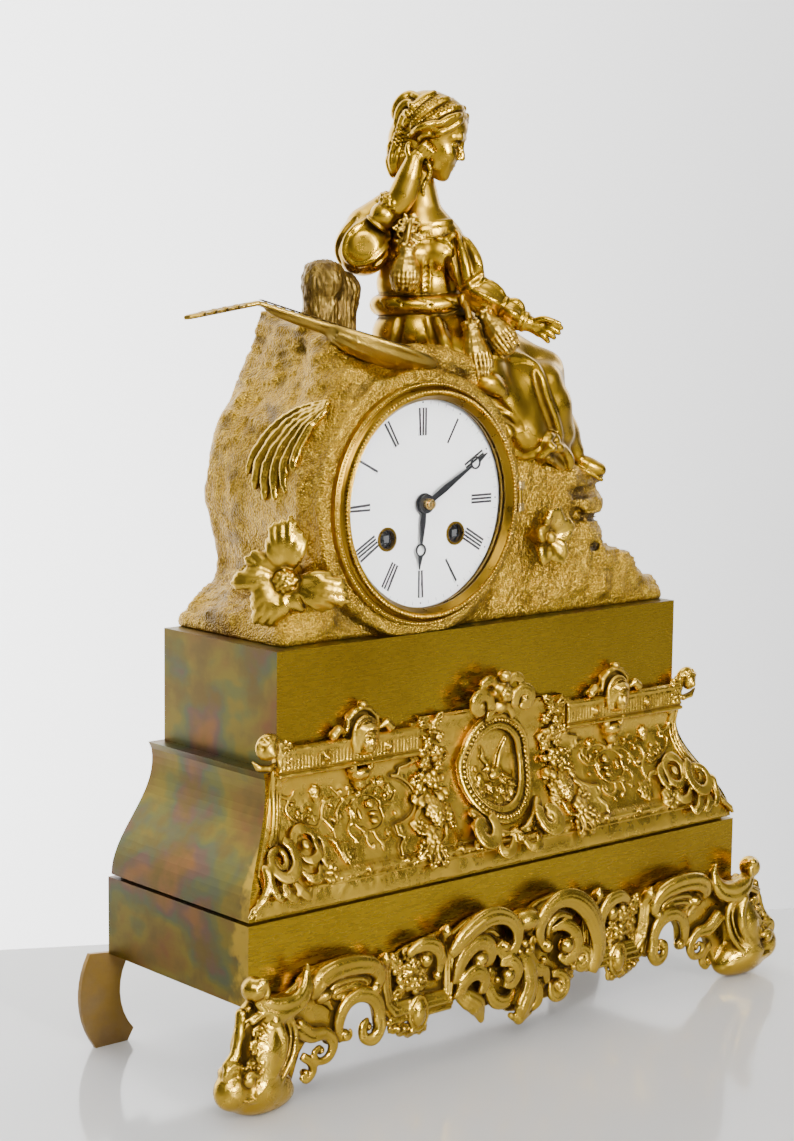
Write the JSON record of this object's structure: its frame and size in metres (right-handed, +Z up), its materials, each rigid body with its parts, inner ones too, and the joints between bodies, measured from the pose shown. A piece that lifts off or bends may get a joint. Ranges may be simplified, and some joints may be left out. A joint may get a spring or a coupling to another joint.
{
  "type": "mantel clock",
  "caption": "Gilt mantel clock: a seated lady on a rocky case with an off-centre enamel dial and pendulum movement, on a stepped plinth with scroll feet.",
  "frame": {"origin": "centre of the clock's outline on the surface it stands on", "axes": "+X to the right seen from the front, +Y to the back, +Z up; the dial faces -Y"},
  "size_m": [0.3456, 0.121, 0.4204],
  "materials": {
    "gilt_satin": "worn satin gilding with tarnish patches",
    "gilt_cast": "gilt relief casting, brown in the recesses",
    "gilt_burnished": "burnished gilding",
    "gilt_rough": "granular matt gilding",
    "bark": "dull gilding, bark texture",
    "aged_brass": "dark unpolished sheet",
    "bezel_gilt": "bright turned gilding",
    "enamel": "white fired enamel, gloss",
    "black_steel": "blued, nearly black",
    "movement_brass": "polished sheet brass",
    "steel": "polished steel",
    "bell_metal": "silvery cast bell metal",
    "glass": "clear domed glass"
  },
  "bodies": {
    "case": {"lower_plinth": "gilt_satin", "middle_plinth": "gilt_satin", "upper_plinth": "gilt_satin", "frieze_casting": "gilt_cast", "oval_medallion": "gilt_cast", "front_apron": "gilt_cast", "rear_foot_left": "aged_brass", "rear_foot_right": "aged_brass", "foot_screws": "steel", "case_bolts": "steel", "rock_case": "gilt_rough", "tree_stump": "bark", "mandolin": "bark", "figure_body": "gilt_burnished", "figure_head": "gilt_burnished", "figure_raised_arm": "gilt_burnished", "figure_open_arm": "gilt_burnished", "tassels": "gilt_burnished", "leaf_rosette": "gilt_cast", "leaf_spray": "gilt_cast", "case_hinges": "movement_brass", "dial": "enamel", "winding_ferrules": "bezel_gilt", "dial_backing": "movement_brass", "front_plate": "movement_brass", "back_plate": "movement_brass", "plate_pillars": "movement_brass", "movement_straps": "movement_brass", "ratchet_clicks": "steel", "back_cock": "movement_brass", "bell": "bell_metal", "bell_stand": "movement_brass"},
    "bezel": {"bezel_ring": "bezel_gilt", "bezel_glass": "glass"},
    "door": {"back_door": "movement_brass"},
    "going_drum": {"going_barrel": "movement_brass", "going_mainspring": "steel"},
    "strike_drum": {"strike_barrel": "movement_brass", "strike_mainspring": "steel", "count_wheel": "movement_brass"},
    "going_winder": {"going_arbor": "steel"},
    "strike_winder": {"strike_arbor": "steel"},
    "centre": {"centre_wheel": "movement_brass", "cannon_pinion": "steel", "minute_hand": "black_steel", "hand_bush": "movement_brass"},
    "hour": {"hour_wheel": "movement_brass", "hour_hand": "black_steel"},
    "minute_idler": {"minute_wheel": "movement_brass"},
    "second": {"second_wheel": "movement_brass"},
    "third": {"third_wheel": "movement_brass"},
    "escape": {"escape_wheel": "movement_brass"},
    "strike_second": {"strike_second_wheel": "movement_brass"},
    "locking": {"locking_wheel": "movement_brass"},
    "fly": {"fly": "movement_brass"},
    "anchor": {"anchor": "steel"},
    "pendulum": {"suspension_spring": "steel", "pendulum_rod": "steel", "pendulum_bob": "movement_brass"},
    "hammer": {"hammer": "steel"}
  },
  "joints": [
    {"name": "bezel_hinge", "type": "hinge", "parent": "case", "child": "bezel", "pos_m": [0.0154, -0.0278, 0.2426], "axis": [0, 0, 1], "range_deg": [0, 100]},
    {"name": "door_hinge", "type": "hinge", "parent": "case", "child": "door", "pos_m": [0.012, 0.0582, 0.2426], "axis": [0, 0, -1], "range_deg": [0, 110]},
    {"name": "minute_spin", "type": "hinge", "parent": "case", "child": "centre", "pos_m": [-0.04, 0.001, 0.2426], "axis": [0, 1, 0], "continuous": true},
    {"name": "hour_spin", "type": "hinge", "parent": "case", "child": "hour", "pos_m": [-0.04, 0.001, 0.2426], "axis": [0, 1, 0], "continuous": true},
    {"name": "minute_idler_spin", "type": "hinge", "parent": "case", "child": "minute_idler", "pos_m": [-0.0496, 0.001, 0.2426], "axis": [0, 1, 0], "continuous": true},
    {"name": "second_spin", "type": "hinge", "parent": "case", "child": "second", "pos_m": [-0.02522, 0.001, 0.24803], "axis": [0, 1, 0], "continuous": true},
    {"name": "third_spin", "type": "hinge", "parent": "case", "child": "third", "pos_m": [-0.04651, 0.001, 0.25656], "axis": [0, 1, 0], "continuous": true},
    {"name": "escape_spin", "type": "hinge", "parent": "case", "child": "escape", "pos_m": [-0.04, 0.001, 0.26682], "axis": [0, 1, 0], "continuous": true},
    {"name": "going_drum_spin", "type": "hinge", "parent": "case", "child": "going_drum", "pos_m": [-0.0201, 0.001, 0.2281], "axis": [0, 1, 0], "continuous": true},
    {"name": "strike_drum_spin", "type": "hinge", "parent": "case", "child": "strike_drum", "pos_m": [-0.0599, 0.001, 0.2281], "axis": [0, 1, 0], "continuous": true},
    {"name": "strike_second_spin", "type": "hinge", "parent": "case", "child": "strike_second", "pos_m": [-0.06169, 0.001, 0.2486], "axis": [0, 1, 0], "continuous": true},
    {"name": "locking_spin", "type": "hinge", "parent": "case", "child": "locking", "pos_m": [-0.064, 0.001, 0.26241], "axis": [0, 1, 0], "continuous": true},
    {"name": "fly_spin", "type": "hinge", "parent": "case", "child": "fly", "pos_m": [-0.05905, 0.001, 0.27098], "axis": [0, 1, 0], "continuous": true},
    {"name": "going_wind", "type": "hinge", "parent": "case", "child": "going_winder", "pos_m": [-0.0201, 0.001, 0.2281], "axis": [0, 1, 0], "range_deg": [0, 1800]},
    {"name": "strike_wind", "type": "hinge", "parent": "case", "child": "strike_winder", "pos_m": [-0.0599, 0.001, 0.2281], "axis": [0, 1, 0], "range_deg": [0, 1800]},
    {"name": "pendulum_swing", "type": "hinge", "parent": "case", "child": "pendulum", "pos_m": [-0.04, 0.0282, 0.27982], "axis": [0, 1, 0], "range_deg": [-4, 4]},
    {"name": "anchor_rock", "type": "hinge", "parent": "case", "child": "anchor", "pos_m": [-0.04, 0.001, 0.27982], "axis": [0, 1, 0], "range_deg": [-4.5, 4.5]},
    {"name": "hammer_swing", "type": "hinge", "parent": "case", "child": "hammer", "pos_m": [-0.0785, 0.001, 0.2451], "axis": [0, 1, 0], "range_deg": [-8, 2], "stiffness_Nm_per_rad": 0.03}
  ],
  "couplings": [
    {"joint": "hour_spin", "follows": "minute_spin", "ratio": 0.083333},
    {"joint": "minute_idler_spin", "follows": "minute_spin", "ratio": -0.33333},
    {"joint": "second_spin", "follows": "minute_spin", "ratio": -0.16667},
    {"joint": "going_drum_spin", "follows": "minute_spin", "ratio": 0.027778},
    {"joint": "third_spin", "follows": "minute_spin", "ratio": -10},
    {"joint": "escape_spin", "follows": "minute_spin", "ratio": 125},
    {"joint": "strike_drum_spin", "follows": "strike_second_spin", "ratio": -0.16667},
    {"joint": "locking_spin", "follows": "strike_second_spin", "ratio": -6},
    {"joint": "fly_spin", "follows": "strike_second_spin", "ratio": 60},
    {"joint": "anchor_rock", "follows": "pendulum_swing", "ratio": 1}
  ]
}
